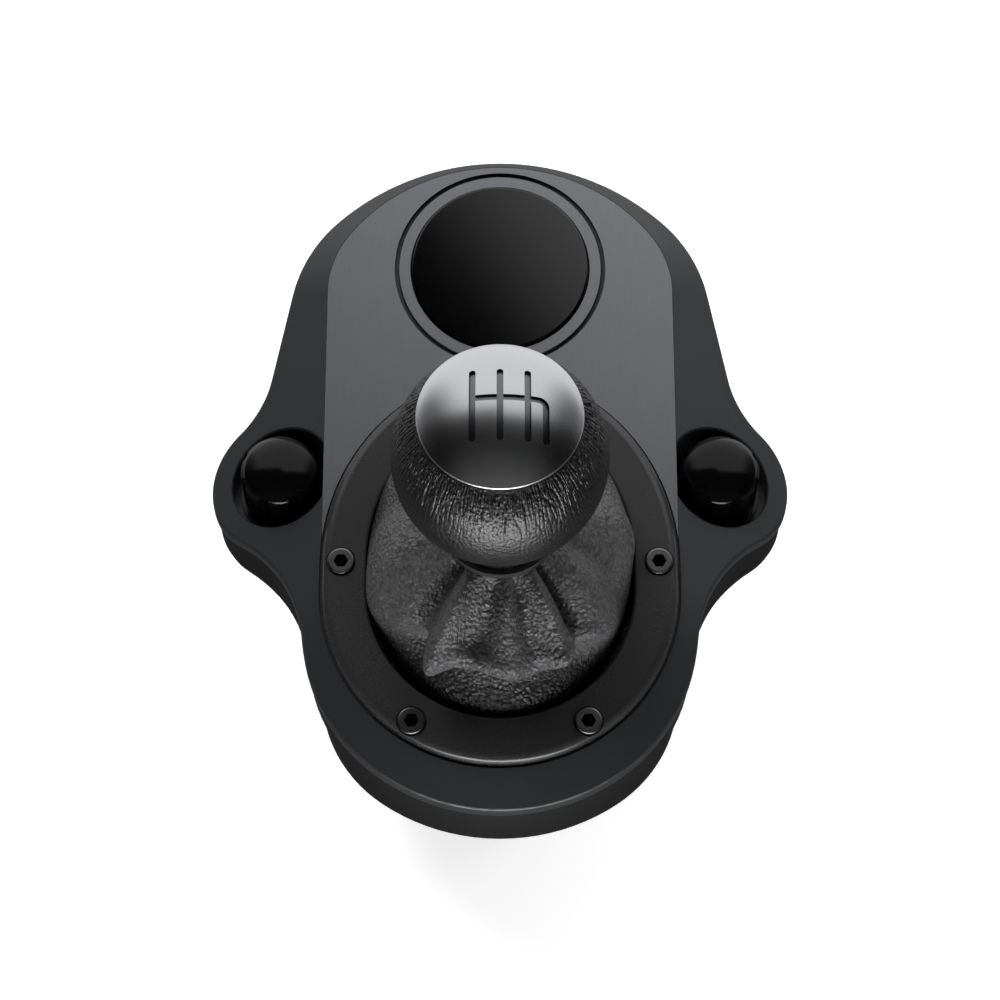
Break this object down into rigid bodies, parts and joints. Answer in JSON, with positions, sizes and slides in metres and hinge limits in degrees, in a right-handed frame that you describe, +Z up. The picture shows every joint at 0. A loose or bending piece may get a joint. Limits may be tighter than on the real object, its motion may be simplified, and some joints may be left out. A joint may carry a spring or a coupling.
{
  "type": "sim racing gear shifter",
  "caption": "Desk-clamped gear shifter with a round capped knob on a swinging lever, a leather boot, a tilted face plate and two screw clamps.",
  "frame": {"origin": "under the lever's pivot, on the surface that the base mat rests on", "axes": "+X to the driver's right, +Y away from the driver, +Z up"},
  "size_m": [0.1532, 0.1769, 0.1758],
  "materials": {
    "lid_plastic": "fine texture",
    "plate_metal": "satin anodised grey",
    "badge_gloss": "gloss",
    "trim_black": "satin black",
    "bolt_steel": "satin",
    "dark_steel": "black oxide",
    "inner_plastic": "moulded",
    "boot_leather": "soft pebbled",
    "ball_leather": "smooth stitched",
    "housing_plastic": "fine texture",
    "rubber": "matte",
    "board": "green solder mask",
    "steel": "turned",
    "brass": "turned",
    "aluminium": "milled",
    "cap_aluminium": "spun satin",
    "knob_gloss": "gloss black",
    "sensor_plastic": "moulded"
  },
  "bodies": {
    "housing": {"upper_housing": "lid_plastic", "face_plate": "plate_metal", "badge_ring": "plate_metal", "badge_disc": "badge_gloss", "boot_trim_ring": "trim_black", "trim_ring_bolts": "bolt_steel", "boot_retainer_frame": "inner_plastic", "shift_boot": "boot_leather", "lower_housing": "housing_plastic", "housing_screws": "dark_steel", "base_plate": "steel", "base_screws": "dark_steel", "base_mat": "rubber", "mount_nuts": "brass", "desk_pads": "rubber", "guide_rods": "steel", "control_board": "board", "board_screws": "steel", "cable_grommet": "rubber", "pivot_frame": "aluminium", "frame_screws": "dark_steel", "pivot_bushes": "brass", "side_sensor": "sensor_plastic", "gate_plate": "steel", "gate_posts": "brass", "gate_screws": "steel", "reverse_sensor": "sensor_plastic", "side_springs": "steel", "clamp_washers": "steel"},
    "gimbal": {"gimbal_ring": "aluminium", "gimbal_pins": "steel", "axle_bushes": "brass", "stroke_sensor": "sensor_plastic"},
    "lever": {"lever_tube": "aluminium", "stroke_axle": "steel", "guide_bush": "brass", "press_spring": "steel", "boot_collar": "inner_plastic", "boot_tie": "rubber"},
    "knob": {"shift_rod": "steel", "rod_clip": "steel", "knob_core": "inner_plastic", "knob_insert": "brass", "knob_ball": "ball_leather", "knob_cap": "cap_aluminium", "knob_neck": "trim_black"},
    "clamp_handle_right": {"clamp_knob_right": "knob_gloss", "clamp_screw_right": "steel"},
    "jaw_right": {"clamp_jaw_right": "inner_plastic", "clamp_nut_right": "steel", "jaw_pad_right": "rubber"},
    "clamp_handle_left": {"clamp_knob_left": "knob_gloss", "clamp_screw_left": "steel"},
    "jaw_left": {"clamp_jaw_left": "inner_plastic", "clamp_nut_left": "steel", "jaw_pad_left": "rubber"}
  },
  "joints": [
    {"name": "side_swing", "type": "hinge", "parent": "housing", "child": "gimbal", "pos_m": [0, 0, 0.052], "axis": [0, 1, 0], "range_deg": [-11, 11], "stiffness_Nm_per_rad": 1.5, "deforming": ["side_springs", "shift_boot"]},
    {"name": "stroke_swing", "type": "hinge", "parent": "gimbal", "child": "lever", "pos_m": [0, 0, 0.052], "axis": [1, 0, 0], "range_deg": [-14, 14], "deforming": ["shift_boot"]},
    {"name": "knob_press", "type": "slide", "parent": "lever", "child": "knob", "axis": [0, 0, -1], "range_m": [0, 0.006], "stiffness_N_per_m": 2000, "springref_m": -0.004, "deforming": ["press_spring"]},
    {"name": "clamp_turn_right", "type": "hinge", "parent": "housing", "child": "clamp_handle_right", "pos_m": [0.0577, 0.0319, 0.08], "axis": [0, 0, -1], "range_deg": [-3240, 1080]},
    {"name": "jaw_climb_right", "type": "slide", "parent": "housing", "child": "jaw_right", "axis": [0, 0, 1], "range_m": [-0.027, 0.009]},
    {"name": "clamp_turn_left", "type": "hinge", "parent": "housing", "child": "clamp_handle_left", "pos_m": [-0.0577, 0.0319, 0.08], "axis": [0, 0, -1], "range_deg": [-3240, 1080]},
    {"name": "jaw_climb_left", "type": "slide", "parent": "housing", "child": "jaw_left", "axis": [0, 0, 1], "range_m": [-0.027, 0.009]}
  ],
  "couplings": [
    {"joint": "clamp_turn_right", "follows": "jaw_climb_right", "rad_per_m": 2094.4},
    {"joint": "clamp_turn_left", "follows": "jaw_climb_left", "rad_per_m": 2094.4}
  ]
}
